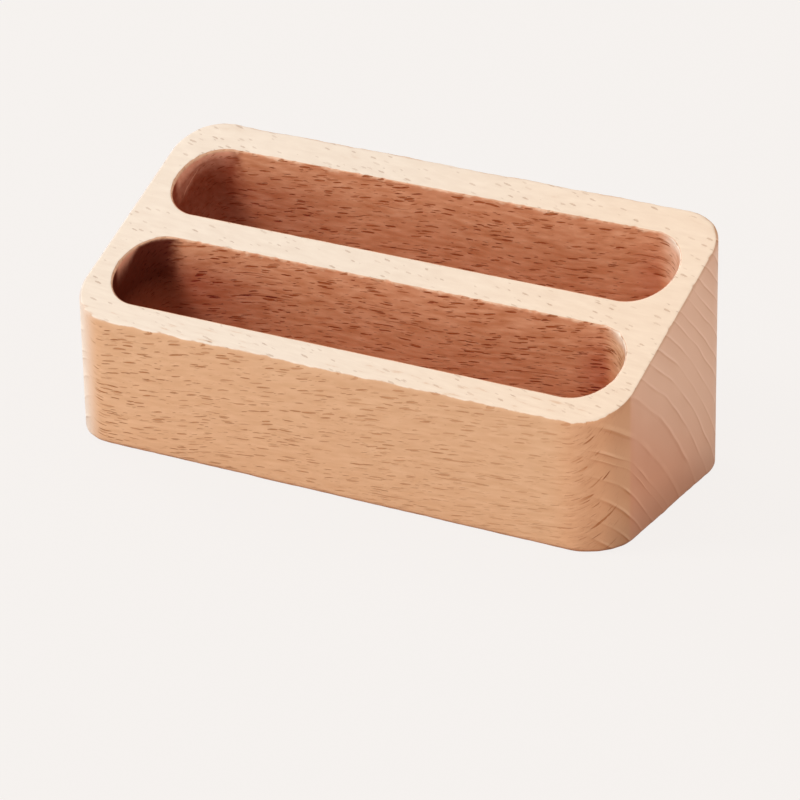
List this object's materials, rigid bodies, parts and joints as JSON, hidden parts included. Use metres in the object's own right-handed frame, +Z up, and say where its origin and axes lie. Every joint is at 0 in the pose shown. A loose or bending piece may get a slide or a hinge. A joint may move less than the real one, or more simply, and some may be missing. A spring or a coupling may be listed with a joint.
{
  "type": "business card holder",
  "caption": "Desktop business card holder: a solid beech block with a slanted top and long round-ended slots that stand cards upright in tiers.",
  "frame": {"origin": "middle of the footprint, on the flat underside that the block stands on", "axes": "+X along the slots to the user's right, +Y from the low front to the high back, +Z up"},
  "size_m": [0.107, 0.046, 0.0445],
  "materials": {
    "beech": "sanded solid beech, thin clear matt oil"
  },
  "bodies": {
    "root": {"beech_block": "beech"}
  },
  "joints": []
}
